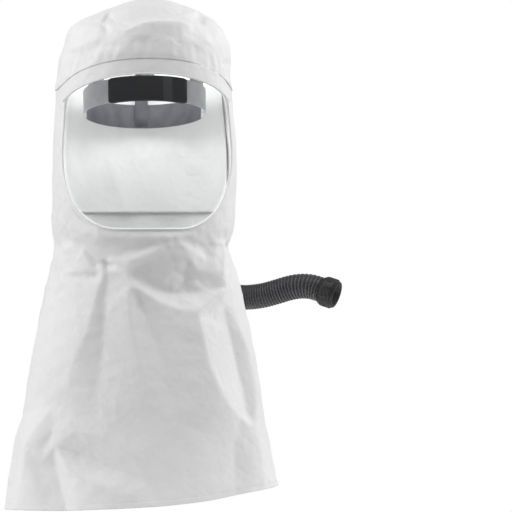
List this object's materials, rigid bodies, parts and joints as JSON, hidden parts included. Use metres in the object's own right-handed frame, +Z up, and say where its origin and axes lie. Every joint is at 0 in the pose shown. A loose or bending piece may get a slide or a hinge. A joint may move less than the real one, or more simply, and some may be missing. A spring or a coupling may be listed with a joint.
{
  "type": "long respirator hood",
  "caption": "Loose white hood for a powered respirator, with a wide curved clear visor, a shoulder-length skirt, an inner head harness and a corrugated breathing hose.",
  "frame": {"origin": "centre of the headband, where the wearer's head goes through it", "axes": "-Y is the front, out through the visor; +X is to the right of someone who faces the visor; +Z is up"},
  "size_m": [0.5087, 0.3738, 0.7631],
  "materials": {
    "hood_fabric": "matt white laminated nonwoven",
    "visor_sheet": "thin clear polyester sheet",
    "edging": "smooth white welded tape",
    "harness_plastic": "satin grey",
    "sweatband_foam": "matt black padded fabric",
    "black_plastic": "satin black",
    "hose_rubber": "satin black corrugated"
  },
  "bodies": {
    "root": {"hood_shell": "hood_fabric", "brow_band": "hood_fabric", "visor": "visor_sheet", "visor_edging": "edging", "headband": "harness_plastic", "crown_strap_across": "harness_plastic", "crown_strap_along": "harness_plastic", "brow_tab_left": "harness_plastic", "brow_tab_right": "harness_plastic", "sweatband": "sweatband_foam", "hose_port": "black_plastic", "hose_coupling": "black_plastic", "hose": "hose_rubber"}
  },
  "joints": []
}
